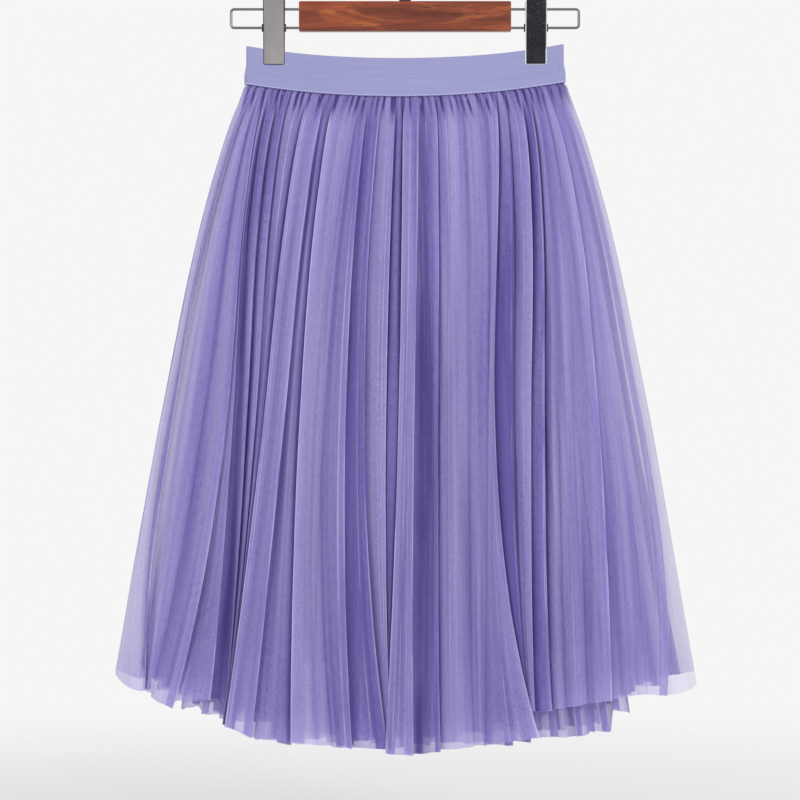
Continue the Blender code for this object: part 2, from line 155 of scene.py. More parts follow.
# How far the outer folds stand out and in, by height, and how quickly shallow ones come and go.
FOLD_HEIGHTS = (0.0, 0.012, 0.03, 0.07, 0.2, 0.5, 1.0)
FOLD_DEPTHS = (0.0002, 0.0006, 0.0013, 0.0027, 0.0042, 0.0056, 0.0068)
SEAM_STAND = 1.4
FADING_STEP = 0.12
FADING_RATE = 2.8
FADING_MEAN = 0.85
FADING_SWING = 1.3
FADED_LEAST = 0.25
FADED_MOST = 1.3

# The gathers just under the band, the small creases and the uneven cut of the hem.
PUCKER_PITCH = 0.0078
PUCKER_DEPTH = 0.0023
PUCKER_REACH = 0.036
PUCKER_SHARE = 0.055
PUCKER_RINGS = 14
PUCKER_FAN = 0.14
# Painted shade in the notches between the gathers: how strongly it darkens.
PUCKER_SHADE_STRENGTH = 2.6
CREASE_DEPTH = 0.0011
CREASE_WIDTH = 0.006
CREASE_LENGTH = 0.11
RAGGED_DEPTH = 0.0014
RAGGED_WIDTH = 0.012

# What the net's look is told at each point: plies, tone and thin bright lines. The tone carries painted
# light and shade, and the thin bright lines are painted highlights.
GATHERED_PLIES = 1.4
HEM_PLIES = 1.25
# Painted light on folds that stand out and painted shade on those that sink in.
RELIEF_LIGHT_AND_SHADE = 0.3
# Painted shade at the top and low down, and a lighter hem.
TOP_SHADE = 0.18
LOW_SHADE = 0.32
HEM_LIGHT = 0.35
# The share of columns that get a painted highlight line.
LINE_SHARE = 0.055

# Panels that the photograph doesn't show: how near the seams plates come, and where they thin out.
LAST_EDGE = 0.97
SIDE_PLIES = 1.3
SIDE_START = 0.98
SIDE_WIDTH = 0.09


def mix(low, high, share):
    return low + (high - low) * share


def smooth(share):
    share = np.clip(share, 0.0, 1.0)
    return share * share * (3 - 2 * share)


def through(x, places, values):
    """A smooth curve through values at places, straight beyond both ends."""
    places = np.asarray(places, float)
    values = np.asarray(values, float)
    slopes = np.gradient(values, places)
    x = np.asarray(x, float)
    held = np.clip(x, places[0], places[-1])
    i = np.clip(np.searchsorted(places, held, side="right") - 1, 0, len(places) - 2)
    width = places[i + 1] - places[i]
    t = (held - places[i]) / width
    low = (1 + 2 * t) * (1 - t) ** 2 * values[i] + t * (1 - t) ** 2 * width * slopes[i]
    high = t * t * (3 - 2 * t) * values[i + 1] + t * t * (t - 1) * width * slopes[i + 1]
    end = np.where(x < places[0], slopes[0], slopes[-1])
    return low + high + (x - held) * end


# The form of the body


def section(layer, fall):
    """Half width, half depth and side radius of one layer's middle surface at each height."""
    below = np.clip(fall, 0.0, None)
    columns = [through(below, [row.fall for row in FORMS], column) for column in list(zip(*FORMS))[1:]]
    half_width, half_depth, side_radius = columns[:3]
    folds = columns[3:]
    in_band = 1 - smooth(below / 0.006)
    inset = CLOTH_WALL / 2 + in_band * (BAND_WALL / 2 + GAP) + folds[0]
    depth = LAYERS.index(layer)
    for above, under in zip(folds[:depth], folds[1:]):
        inset = inset + above + under + CLOTH_WALL + mix(LAYER_CLEARANCE, GAP, in_band)
    slimmer = LINING_SLIMMING * below if layer == "lining" else 0.0
    return half_width - inset - slimmer, half_depth - inset, side_radius - inset


def half_arc(half_width, side_radius):
    return half_width - side_radius * (1 - math.pi / 2)


def share_at(layer, fall, x):
    """Where a place seen from the front lies on a layer, as a share of the way to the seam."""
    half_width, half_depth, side_radius = section(layer, np.array(fall))
    flat = half_width - side_radius
    past = min(max((abs(x) - flat) / side_radius, 0.0), 1.0)
    run = min(abs(x), flat) + side_radius * math.asin(past)
    return math.copysign(min(run / half_arc(half_width, side_radius), 1.0), x)


def band_top(share):
    return BAND_SIDE_TOP - BAND_SAG * (1 - share * share) + BAND_TILT * share


def hem_rise(share):
    return HEM_RISE * np.abs(share) ** HEM_RISE_POWER


def full_fall(share):
    return band_top(share) - BAND_HEIGHT - CENTRE_HEM - hem_rise(share)


def pinched_depth(x, flat):
    """Half depth of the band where the clips pinch it: bowed between them, open at its ends."""
    near = CLIP_X - CLIP_WIDTH / 2 - 0.001
    far = CLIP_X + CLIP_WIDTH / 2 + 0.001
    bowed = mix(PINCH, BAND_TOP_BOW, np.clip(1 - (x / near) ** 2, 0.0, 1.0) ** 2)
    opened = mix(PINCH, BAND_END_RADIUS, smooth((np.abs(x) - far) / (flat - far)))
    return np.where(np.abs(x) < near, bowed, opened)


def on_lens(run, half_width, half_depth, side_radius, flatten=0.0):
    """Plan points and outward normals of the front half of a section, at runs from its middle."""
    flat = half_width - side_radius
    side = np.where(run < 0, -1.0, 1.0)
    turn = np.clip((np.abs(run) - flat) / side_radius, 0.0, math.pi / 2)
    along = np.clip(run / flat, -1.0, 1.0)
    crown = (half_depth - side_radius) * (1 - along**2) ** 2
    slope = -4 * along * (1 - along**2) * (half_depth - side_radius) / flat * (1 - flatten)
    front = mix(side_radius + crown, pinched_depth(along * flat, flat), flatten)
    length = np.hypot(slope, 1.0)
    round_end = turn > 0
    x = np.where(round_end, side * (flat + side_radius * np.sin(turn)), along * flat)
    y = np.where(round_end, -side_radius * np.cos(turn), -front)
    normal_x = np.where(round_end, side * np.sin(turn), -slope / length)
    normal_y = np.where(round_end, -np.cos(turn), -1.0 / length)
    return x, y, normal_x, normal_y


# Folded sheets

Knot = namedtuple("Knot", "waist middle low out hem plies ridge trough tone")


def plate_knots(layer, plates, seam_hem, seam_plies):
    """The turns of the cloth across a panel: over each plate, back under its edge, on to the next."""

    def at(plate, share, out, ridge=0.0, trough=0.0):
        places = [
            mix(share_at(layer, fall, left), share_at(layer, fall, right), share)
            for fall, left, right in zip(ROW_HEIGHTS, plate[0:6:2], plate[1:6:2])
        ]
        hem = mix(plate.hem_left, plate.hem_right, min(max(share, 0.0), 1.0))
        out *= plate.height if out > 0 else 1.0
        return Knot(*places, out, hem, plate.plies, ridge, trough, plate.tone)

    def turned_edge(plate, side, trough):
        """The knots of an edge that turns back, from the plate's face to under it: a painted highlight on
        the turn and painted shade under it.
        """
        back = 0.34 if plate.low_right - plate.low_left > 0.02 else 0.48
        rows = (
            (0.70, 0.70, 0.0, 0.0),
            (0.93, 0.96, 0.3, 0.0),
            (1.0, 0.88, 1.0, 0.0),
            (0.92, 0.45, 0.2, 0.2 * trough),
            (1 - back, -0.05, 0.0, 0.6 * trough),
            (1 - 0.3 * back, -0.75, 0.0, 0.9 * trough),
        )
        knots = [at(plate, s if side > 0 else 1 - s, *rest) for s, *rest in rows]
        return knots if side > 0 else knots[::-1]

    # Seams start and end the panel with a faint painted highlight.
    knots = [Knot(-1.0, -1.0, -1.0, SEAM_STAND, seam_hem[0], seam_plies, 0.3, 0.0, 0.0)]
    before = 0.0
    for plate, after in zip(plates, list(plates[1:]) + [None]):
        if plate.turned == "wing":
            # A wing's middle gets a faint painted highlight.
            knots += [at(plate, share, SEAM_STAND, share * (1 - share)) for share in (0.1, 0.5, 0.9)]
            before = plate.trough
            continue
        if plate.turned in ("left", "both"):
            knots += turned_edge(plate, -1, before)
        else:
            knots.append(at(plate, 0.0, -0.55, trough=0.6 * before))
            knots.append(at(plate, 0.3, 0.35))
        knots.append(at(plate, 0.5, 0.75 if plate.turned == "right" else 0.95))
        if plate.turned in ("right", "both"):
            knots += turned_edge(plate, 1, plate.trough)
        else:
            knots.append(at(plate, 0.7, 0.55))
            knots.append(at(plate, 1.0, -0.45, trough=0.6 * plate.trough))
        before = plate.trough
        # A deep trough gets a floor that sinks in, holding painted shade.
        if after and plate.trough >= 0.5:
            floor = [mix(a, b, 0.5) for a, b in zip(plate[1:6:2], after[0:6:2])]
            deep = plate._replace(
                waist_left=floor[0], middle_left=floor[1], low_left=floor[2], hem_left=plate.hem_right
            )
            knots.append(at(deep, 0.0, -1.25, trough=plate.trough))
    knots.append(Knot(1.0, 1.0, 1.0, SEAM_STAND, seam_hem[1], seam_plies, 0.3, 0.0, 0.0))
    return knots


def wave_knots(count, seed, plies, hem_of):
    """Soft crests and troughs in turn, unevenly spread, over one smooth hem."""
    draw = random.Random(seed)
    total = 2 * count
    waist = low = -1.0
    knots = [Knot(-1.0, -1.0, -1.0, 0.0, hem_of(-1.0), plies, 0.0, 0.0, 0.0)]
    for i in range(1, total):
        even = 2 * i / total - 1
        waist = even + draw.uniform(-0.3, 0.3) / total
        low = even + draw.uniform(-0.5, 0.5) / total
        crest = i % 2
        out = draw.uniform(0.6, 1.0) * (1 if crest else -1)
        tone = draw.uniform(-0.2, 0.3)
        middle = mix(waist, low, 0.5)
        knots.append(
            Knot(waist, middle, low, out, hem_of(low), plies, 0.15 * crest, 0.4 * (1 - crest), tone)
        )
    knots.append(Knot(1.0, 1.0, 1.0, 0.0, hem_of(1.0), plies, 0.0, 0.0, 0.0))
    return knots


def curve_weights(places, least, spacing):
    """Weights of a Catmull-Rom curve through the knots, a row for each of its evenly spread points."""
    count = places.shape[1]
    gaps = np.abs(np.diff(places[0])) * FORMS[0].half_width / spacing
    low_gaps = np.abs(np.diff(places[2])) * FORMS[-1].half_width / (4 * spacing)
    steps = np.clip(np.ceil(np.maximum(gaps, low_gaps)), least, 30).astype(int)
    rows = []
    for i in range(count - 1):
        for step in range(steps[i] if i < count - 2 else steps[i] + 1):
            t = step / steps[i]
            row = np.zeros(count)
            weights = (
                (-t + 2 * t**2 - t**3) / 2,
                (2 - 5 * t**2 + 3 * t**3) / 2,
                (t + 4 * t**2 - 3 * t**3) / 2,
                (-(t**2) + t**3) / 2,
            )
            for k, weight in zip((i - 1, i, i + 1, i + 2), weights):
                row[min(max(k, 0), count - 1)] += weight
            rows.append(row)
    return np.array(rows)


def row_blend(fall):
    """Shares of the three measured rows at each height: a smooth curve through all three."""
    a, b, c = ROW_HEIGHTS
    return (
        (fall - b) * (fall - c) / ((a - b) * (a - c)),
        (fall - a) * (fall - c) / ((b - a) * (b - c)),
        (fall - a) * (fall - b) / ((c - a) * (c - b)),
    )


def crease(run, drop, seed):
    """Long shallow creases, wandering a little, from one smooth noise."""
    spots = zip(run / CREASE_WIDTH, drop / CREASE_LENGTH)
    return np.array([noise.noise(Vector((u, v, seed))) for u, v in spots])


def grid_mesh(name, rings, attributes, uv, material):
    """A sheet from rings of points, with its attributes and a flat layout in metres."""
    height, width = rings.shape[:2]
    spots = np.arange(height * width).reshape(height, width)
    quads = np.stack([spots[:-1, :-1], spots[1:, :-1], spots[1:, 1:], spots[:-1, 1:]], axis=-1)
    mesh = bpy.data.meshes.new(name)
    mesh.from_pydata(rings.reshape(-1, 3), [], quads.reshape(-1, 4))
    for key, values in attributes.items():
        mesh.attributes.new(key, "FLOAT", "POINT").data.foreach_set("value", values.ravel())
    layout = mesh.uv_layers.new(name="cloth")
    corners = np.zeros(len(mesh.loops), int)
    mesh.loops.foreach_get("vertex_index", corners)
    layout.data.foreach_set("uv", uv.reshape(-1, 2)[corners].ravel())
    mesh.shade_smooth()
    mesh.materials.append(material)
    made = bpy.data.objects.new(name, mesh)
    bpy.context.scene.collection.objects.link(made)
    return made


def ring_drops(rings):
    """Shares of each column's own length: inside the band, close together below it, then even."""
    in_band = [-0.011, -0.005, 0.0]
    below = [PUCKER_SHARE * (i + 1) / PUCKER_RINGS for i in range(PUCKER_RINGS)]
    return np.concatenate([in_band, below, np.linspace(PUCKER_SHARE, 1.0, rings + 1)[1:]])


def puckers(run, below, seed):
    """Small uneven gathers just under the band, fanning a little and fading out below it."""
    near = np.clip(1 - below / PUCKER_REACH, 0.0, 1.0) ** 1.4
    run = run + PUCKER_FAN * below * np.sin(29 * run + seed)
    angle = 2 * math.pi * run / PUCKER_PITCH
    uneven = 2.2 * np.sin(74 * run + seed) + 1.1 * np.sin(231 * run + 2 * seed)
    wave = np.sin(angle + uneven) * (0.75 + 0.25 * np.sin(0.37 * angle + seed))
    return near, wave + 0.35 * near**2 * np.sin(2.3 * angle + 1.5 * np.sin(160 * run))


def fold_fading(out, trough, drop, seed):
    """How far each fold stands at a height: shallow folds come and go, deep ones and seams stay."""
    drift = [noise.noise(Vector((FADING_STEP * i, FADING_RATE * drop, seed))) for i in range(len(out))]
    kept = np.maximum(smooth((trough - 0.6) / 0.3), out >= SEAM_STAND)
    faded = np.clip(FADING_MEAN + FADING_SWING * np.array(drift), FADED_LEAST, FADED_MOST)
    return mix(faded, 1.0, kept)


def painted_highlight_lines(ridge, seed):
    """Ridges with a painted highlight line added on a few columns, where single plies turn."""
    draw = random.Random(int(seed * 10))
    lines = [draw.uniform(0.5, 0.8) if draw.random() < LINE_SHARE else 0.0 for _ in ridge]
    return np.maximum(ridge, lines)


def build_sheet(name, layer, knots, columns, rings, facing, depths, material, seed, pucker=1.0):
    """One gathered panel, from inside the band down to its hem."""
    table = np.array(knots).T
    places, (out, hem, plies, ridge, hollow, tone) = table[:3], table[3:]
    hem_fall = 1 - (hem - hem_rise(places[2])) / full_fall(places[2])
    weights = curve_weights(places, *columns)
    plies, ridge, trough, tone, out_row = (weights @ row for row in (plies, ridge, hollow, tone, out))
    ridge = painted_highlight_lines(ridge, seed)
    waist_arc = half_arc(FORMS[0].half_width, FORMS[0].side_radius)
    solid = np.clip(plies - 1.0, 0.0, 1.0)
    low_run = (weights @ places[2]) * section(layer, np.array(ROW_HEIGHTS[2]))[0]
    low_stand = out_row * FOLD_DEPTHS[-1] * depths
    across = np.concatenate([[0.0], np.cumsum(np.hypot(np.diff(low_run), np.diff(low_stand)))])
    points, attributes, layout = [], [], []
    for drop in ring_drops(rings):
        fall = mix(drop, drop * hem_fall, smooth((drop - PUCKER_SHARE) * 2))
        held = np.clip(fall, 0.0, 1.0)
        share = sum(a * b for a, b in zip(row_blend(held), places))
        depth = through(held, FOLD_HEIGHTS, FOLD_DEPTHS) * depths * (drop >= 0)
        share = weights @ np.clip(share, -1.0, 1.0)
        fading = fold_fading(out, hollow, drop, seed)
        stand = weights @ (out * depth * fading)
        fading = np.clip(weights @ fading, 0.0, 1.0)
        fall = weights @ fall
        half_width, half_depth, side_radius = section(layer, fall)
        run = np.clip(share, -1.0, 1.0) * half_arc(half_width, side_radius)
        length = full_fall(share)
        z = band_top(share) - BAND_HEIGHT - fall * length
        below = np.clip(fall, 0.0, None) * length
        near, wave = puckers(np.clip(share, -1.0, 1.0) * waist_arc, below, seed)
        stand = stand + pucker * PUCKER_DEPTH * near * wave * smooth(below / 0.003)
        creases = crease(across, z, seed) * smooth(below / 0.05) * mix(0.3, 1.0, solid)
        ragged = crease(across * CREASE_WIDTH / RAGGED_WIDTH, 0 * z, seed) * smooth((drop - 0.97) / 0.03)
        stand = stand + CREASE_DEPTH * creases
        z = z - RAGGED_DEPTH * ragged
        x, y, normal_x, normal_y = on_lens(run, half_width, half_depth, side_radius)
        points.append(np.stack([x + stand * normal_x, facing * (y + stand * normal_y), z], axis=-1))
        # Painted shade in the notches between the gathers and painted light on their crests.
        pucker_shade = np.clip(-2.4 * wave - 0.4, 0.0, 1.0) * near**1.1 * pucker
        pucker_highlight = np.clip(wave, 0.0, 1.0) * near * pucker
        formed = smooth((below - 0.004) / 0.03)
        gathered = mix(GATHERED_PLIES, 1.0, smooth(fall / 0.45))
        at_hem = smooth((drop - 0.94) / 0.06)
        # Painted shade low down and at the top; the hem is made lighter.
        shade = LOW_SHADE * fall**2 + TOP_SHADE * (1 - smooth(fall / 0.4)) - HEM_LIGHT * at_hem
        # Painted light on folds that stand out and painted shade in hollows; the darkest plates fade in
        # below the top.
        deepest = np.clip(-5 * tone - 4.8, 0.0, 1.0)
        toned = (tone + RELIEF_LIGHT_AND_SHADE * out_row) * mix(1.0, smooth(fall / 0.35), deepest)
        # Painted highlight on ridges, painted shade in troughs and notches, and tone with its painted light
        # and shade.
        attributes.append(
            (
                plies * gathered * mix(1.0, HEM_PLIES, at_hem),
                ridge * formed,
                np.clip(trough * fading * mix(0.25, 1.0, formed) + PUCKER_SHADE_STRENGTH * pucker_shade, 0.0, 1.6),
                toned * formed + 0.4 * pucker_highlight - shade,
            )
        )
        layout.append(np.stack([across, z], axis=-1))
    attributes = np.array(attributes)
    keys = ("plies", "ridge", "trough", "tone")
    named = {key: attributes[:, i] for i, key in enumerate(keys)}
    return grid_mesh(name, np.array(points), named, np.array(layout), material)


def spread_plates(layer, count, seed, plies, hem_of, turned_share):
    """Plates for a panel that the photograph doesn't show, as uneven as the front's."""
    draw = random.Random(seed)
    widths = [draw.uniform(0.6, 1.5) for _ in range(count)]
    edges = np.concatenate([[0.0], np.cumsum(widths)]) / sum(widths) * (2 * LAST_EDGE) - LAST_EDGE
    waists = [2 * (i + draw.uniform(-0.25, 0.25)) / count - 1 for i in range(count + 1)]
    halves = [float(section(layer, np.array(fall))[0]) for fall in ROW_HEIGHTS]
    plates = []
    for i in range(count):
        left, right = edges[i], edges[i + 1]
        lap = draw.uniform(-0.25, 0.3) * (right - left)
        end = draw.random() < turned_share
        at_waist = sorted((max(waists[i], -LAST_EDGE), min(waists[i + 1], LAST_EDGE)))
        sides = []
        for half, lean in zip(halves, (0.0, 0.5, 1.0)):
            sides.append(half * mix(at_waist[0], left, lean))
            sides.append(half * mix(at_waist[1], right - lap, lean))
        middle = (left + right) / 2
        hem = hem_of(middle) + draw.uniform(-0.004, 0.004)
        near_side = smooth((SIDE_START - abs(middle)) / SIDE_WIDTH)
        plates.append(
            Plate(
                *sides,
                draw.uniform(0.6, 1.0) * mix(0.5, 1.0, near_side),
                draw.choice(("right", "left", "right", "both")) if end else "soft",
                hem,
                hem + draw.uniform(-0.003, 0.003),
                mix(SIDE_PLIES, plies, near_side),
                draw.uniform(0.0, 1.0),
                draw.uniform(-0.3, 0.4),
            )
        )
    return plates


# Materials


class Look:
    """A material's nodes, with short ways to add and join them."""

    def __init__(self, name, colour=None, roughness=0.5, metallic=0.0):
        self.material = bpy.data.materials.new(name)
        self.material.use_nodes = True
        self.nodes = self.material.node_tree.nodes
        self.shader = self.nodes["Principled BSDF"]
        self.output = self.nodes["Material Output"]
        if colour:
            self.set(self.shader, "Base Color", (*colour, 1.0))
        self.set(self.shader, "Roughness", roughness)
        self.set(self.shader, "Metallic", metallic)

    def set(self, node, socket, value):
        """Set a socket to a value, or join another node's output to it."""
        target = node.inputs[socket]
        if isinstance(value, bpy.types.NodeSocket):
            self.material.node_tree.links.new(value, target)
        else:
            target.default_value = value

    def node(self, kind, inputs=(), output=0, **settings):
        made = self.nodes.new("ShaderNode" + kind)
        for key, value in settings.items():
            setattr(made, key, value)
        for socket, value in dict(inputs).items():
            self.set(made, socket, value)
        return made.outputs[output]

    def attribute(self, name):
        return self.node("Attribute", output="Fac", attribute_name=name)

    def sum(self, operation, a, b=0.0, clamp=False):
        return self.node("Math", {0: a, 1: b}, operation=operation, use_clamp=clamp)

    def blend(self, share, low, high):
        """A colour between two, each given as three values or as another node's output."""
        joined = bpy.types.NodeSocket
        low, high = (value if isinstance(value, joined) else (*value, 1.0) for value in (low, high))
        return self.node("Mix", {0: share, 6: low, 7: high}, output=2, data_type="RGBA")

    def span(self, value, low, high, bottom=0.0, top=1.0):
        """A value stretched from one span to another, and held within it."""
        rows = {0: value, 1: low, 2: high, 3: bottom, 4: top}
        return self.node("MapRange", rows, interpolation_type="SMOOTHSTEP")

    def spots(self, scale, source="UV", **inputs):
        coordinates = self.node("TexCoord", output=source)
        scaled = self.node("Mapping", {"Vector": coordinates, "Scale": scale})
        rows = {"Vector": scaled, "Scale": 1.0, "Detail": 2.0, **inputs}
        return self.node("TexNoise", rows)

    def bump(self, height, strength, distance):
        normal = self.node("Bump", {"Height": height, "Strength": strength, "Distance": distance})
        self.set(self.shader, "Normal", normal)
        return normal


PLY_OPACITY = 0.225
TULLE = (0.355, 0.303, 0.675)
# Painted shade for troughs and painted highlight for turned edges.
TULLE_PAINTED_SHADE = (0.080, 0.056, 0.260)
TULLE_PAINTED_HIGHLIGHT = (0.84, 0.78, 0.98)
# Lighter and darker colours for the tone, which holds painted light and shade as well as random unevenness.
TULLE_LIGHT = (0.520, 0.470, 0.800)
TULLE_DARK = (0.180, 0.130, 0.470)
NET_CELL = 0.0012


def tulle_look(name, painted_shade_strength=1.0):
    """Fine net: more plies hide more, turned edges get a painted highlight, troughs a painted shade and tone
    its painted light and shade.
    """
    look = Look(name, roughness=0.7)
    # Painted highlight on ridges, broken by noise, and painted shade in troughs, spread unevenly.
    fading = look.span(look.spots((90.0, 9.0, 1.0)), 0.35, 0.6, 0.1, 1.0)
    ridge = look.sum("MULTIPLY", look.sum("POWER", look.attribute("ridge"), 2.2), fading)
    shade_spread = look.span(look.spots((70.0, 5.0, 1.0)), 0.35, 0.62, 0.4, 1.1)
    trough = look.sum("MULTIPLY", look.attribute("trough"), shade_spread)
    # Tone: the mesh's painted light and shade, with random mottle, streaks, broad swings and specks.
    tone = look.attribute("tone")
    mottle = look.spots((230.0, 120.0, 1.0), Detail=3.0)
    tone = look.sum("ADD", tone, look.sum("MULTIPLY", look.sum("SUBTRACT", mottle, 0.5), 0.8))
    streaks = look.spots((260.0, 4.0, 1.0), Detail=4.0)
    tone = look.sum("ADD", tone, look.sum("MULTIPLY", look.sum("SUBTRACT", streaks, 0.5), 1.7))
    shades = look.spots((80.0, 2.6, 1.0), Detail=1.0)
    tone = look.sum("ADD", tone, look.sum("MULTIPLY", look.sum("SUBTRACT", shades, 0.5), 2.6))
    patches = look.span(look.spots((22.0, 9.0, 1.0)), 0.5, 0.62)
    specks = look.span(look.spots((560.0, 330.0, 1.0)), 0.56, 0.70, 0.0, 0.8)
    tone = look.sum("SUBTRACT", tone, look.sum("MULTIPLY", specks, patches))
    lighter = look.sum("MULTIPLY", tone, 0.8, True)
    darker = look.sum("MULTIPLY", tone, -0.8, True)
    colour = look.blend(lighter, TULLE, TULLE_LIGHT)
    colour = look.blend(darker, colour, TULLE_DARK)
    # Painted shade in troughs, then painted highlight on ridges.
    colour = look.blend(look.sum("MULTIPLY", trough, 0.85 * painted_shade_strength, True), colour, TULLE_PAINTED_SHADE)
    colour = look.blend(look.sum("MULTIPLY", ridge, 1.0, True), colour, TULLE_PAINTED_HIGHLIGHT)
    look.set(look.shader, "Base Color", colour)
    look.set(look.shader, "Sheen Weight", 0.15)
    look.set(look.shader, "Specular IOR Level", 0.25)
    layout = look.node("TexCoord", output="UV")
    cells = look.node(
        "TexVoronoi",
        {"Vector": layout, "Scale": 1 / NET_CELL, "Randomness": 0.55},
        feature="DISTANCE_TO_EDGE",
    )
    threads = look.span(cells, 0.02, 0.2, 1.25, 0.85)
    clear = look.sum("POWER", 1 - PLY_OPACITY, look.sum("MULTIPLY", look.attribute("plies"), threads))
    opacity = look.sum("SUBTRACT", 1.0, clear)
    opacity = look.sum("ADD", opacity, look.sum("MULTIPLY", ridge, 0.25))
    opacity = look.sum("ADD", opacity, look.sum("MULTIPLY", trough, 0.3), True)
    glow = look.node("BsdfTranslucent", {"Color": colour})
    cloth = look.node("MixShader", {0: 0.22, 1: look.shader.outputs[0], 2: glow})
    clear_path = look.node("BsdfTransparent")
    look.set(look.output, "Surface", look.node("MixShader", {0: opacity, 1: clear_path, 2: cloth}))
    return look.material


def lining_look():
    """Smooth woven lining with a low satin sheen."""
    look = Look("lining", roughness=0.5)
    shade = look.spots((60.0, 14.0, 1.0))
    look.set(look.shader, "Base Color", look.blend(shade, (0.150, 0.110, 0.400), (0.230, 0.185, 0.500)))
    look.set(look.shader, "Sheen Weight", 0.3)
    weave = look.spots((2600.0, 1400.0, 1.0))
    look.bump(weave, 0.2, 0.0003)
    return look.material


def band_look():
    """Ribbed elastic: fine lengthwise ribs crossed by a finer weave."""
    look = Look("elastic", roughness=0.75)
    streak = look.spots((18.0, 700.0, 1.0), Detail=3.0)
    cloud = look.spots((14.0, 30.0, 1.0))
    colour = look.blend(look.span(streak, 0.3, 0.7), (0.262, 0.268, 0.470), (0.290, 0.296, 0.500))
    colour = look.blend(look.span(cloud, 0.35, 0.7, 0.0, 0.35), colour, (0.285, 0.265, 0.52))
    look.set(look.shader, "Base Color", colour)
    look.set(look.shader, "Sheen Weight", 0.2)
    look.set(look.shader, "Specular IOR Level", 0.2)
    weave = look.spots((1500.0, 900.0, 1.0))
    look.bump(weave, 0.35, 0.0003)
    return look.material


def thread_look():
    look = Look("thread", roughness=0.6)
    twist = look.spots((900.0, 900.0, 900.0), source="Object")
    look.set(look.shader, "Base Color", look.blend(twist, (0.52, 0.50, 0.80), (0.66, 0.64, 0.90)))
    look.set(look.shader, "Sheen Weight", 0.2)
    return look.material


def wood_look():
    """Lacquered red-brown wood, with long grain, darker pores and a paler figure."""
    look = Look("wood", roughness=0.3)
    grain = look.spots((9.0, 60.0, 110.0), source="Object", Detail=6.0, Distortion=0.6)
    figure = look.spots((7.0, 7.0, 34.0), source="Object", Detail=3.0, Distortion=1.4)
    pores = look.spots((60.0, 400.0, 700.0), source="Object", Detail=4.0)
    colour = look.blend(look.span(grain, 0.3, 0.7), (0.110, 0.016, 0.004), (0.270, 0.048, 0.011))
    colour = look.blend(look.span(figure, 0.50, 0.68, 0.0, 0.9), colour, (0.470, 0.120, 0.022))
    colour = look.blend(look.span(pores, 0.56, 0.70, 0.0, 0.8), colour, (0.045, 0.008, 0.003))
    look.set(look.shader, "Base Color", colour)
    look.set(look.shader, "Roughness", look.span(grain, 0.2, 0.8, 0.3, 0.5))
    look.set(look.shader, "Specular IOR Level", 0.3)
    look.set(look.shader, "Coat Weight", 0.25)
    look.set(look.shader, "Coat Roughness", 0.15)
    look.bump(grain, 0.15, 0.0004)
    return look.material


def steel_look(name, colour, worn, roughness, rim=None):
    """Plated steel with faint brushing, worn scratches on some, and another tone along cut edges."""
    look = Look(name, colour, roughness, 1.0)
    brushed = look.spots((60.0, 60.0, 1800.0), source="Object", Detail=3.0)
    smear = look.spots((45.0, 45.0, 30.0), source="Object", Detail=3.0)
    scratch = look.spots((90.0, 90.0, 90.0), source="Object", Detail=0.0, Distortion=3.0)
    line = look.span(look.sum("ABSOLUTE", look.sum("SUBTRACT", scratch, 0.5)), 0.0, 0.006, worn, 0.0)
    paler = [min(1.0, value * 3 + 0.2) for value in colour]
    base = look.blend(look.span(smear, 0.3, 0.75, 0.0, 0.5), colour, [value * 1.35 for value in colour])
    base = look.blend(line, base, paler)
    if rim:
        base = look.blend(look.attribute("rim"), base, rim)
    look.set(look.shader, "Base Color", base)
    look.set(look.shader, "Roughness", look.span(brushed, 0.2, 0.8, roughness - 0.08, roughness + 0.1))
    look.bump(brushed, 0.08, 0.0002)
    return look.material


# Waistband

BAND_RIBS = 18
BAND_RIB_DEPTH = 0.00005
BAND_ROWS = 74
BAND_STEPS = 260
STITCH_PITCH = 0.0031
STITCH_LENGTH = 0.0021
STITCH_THICKNESS = 0.0010


def band_section(down):
    """The band's section at a share of its height: half width, depth, end radius, how pinched."""
    lap_share = 1 - LAP / BAND_HEIGHT
    low = FORMS[0]
    open_share = smooth((down - PINCHED_SHARE) / (lap_share - PINCHED_SHARE))
    return (
        mix(BAND_TOP_HALF_WIDTH, low.half_width, open_share),
        mix(BAND_TOP_BOW, low.half_depth, open_share),
        mix(BAND_END_RADIUS, low.side_radius, open_share),
        1.0 - open_share,
    )


def band_points(down, out):
    """A ring round the band at a share of its height, moved out from its middle surface."""
    half_width, half_depth, side_radius, flatten = band_section(down)
    whole = half_arc(half_width, side_radius)
    run = np.linspace(-whole, whole, BAND_STEPS + 1)
    x, y, normal_x, normal_y = on_lens(run, half_width, half_depth, side_radius, flatten)
    z = band_top(x / half_width) - down * BAND_HEIGHT
    front = np.stack([x + out * normal_x, y + out * normal_y, z], axis=-1)
    back = front[-2:0:-1] * (1, -1, 1)
    return np.concatenate([front, back])


def build_band(material):
    """A ribbed wall with rolled edges, as one closed skin."""
    half = BAND_WALL / 2
    profile = [(0.022, -half), (0.006, -half * 0.7), (0.0, 0.0), (0.006, half * 0.7)]
    for row in range(BAND_ROWS + 1):
        down = mix(0.022, 0.978, row / BAND_ROWS)
        rib = BAND_RIB_DEPTH * math.cos(2 * math.pi * BAND_RIBS * row / BAND_ROWS)
        profile.append((down, half + rib))
    profile += [(0.994, half * 0.7), (1.0, 0.0), (0.994, -half * 0.7), (0.978, -half)]
    profile += [(down, -half) for down in (0.8, 0.6, PINCHED_SHARE, 0.3, 0.15)]
    rings = np.array([band_points(down, out) for down, out in profile + profile[:1]])
    rings = np.concatenate([rings, rings[:, :1]], axis=1)
    around = np.linspace(0.0, 0.69, rings.shape[1])
    uv = np.stack(np.broadcast_arrays(around[None, :], rings[:, :, 2]), axis=-1)
    band = grid_mesh("waistband_ribbed", rings, {}, uv, material)
    weld(band)
    return band


def weld(piece, distance=1e-6):
    net = bmesh.new()
    net.from_mesh(piece.data)
    bmesh.ops.remove_doubles(net, verts=net.verts, dist=distance)
    bmesh.ops.recalc_face_normals(net, faces=net.faces)
    net.to_mesh(piece.data)
    net.free()
    piece.data.shade_smooth()


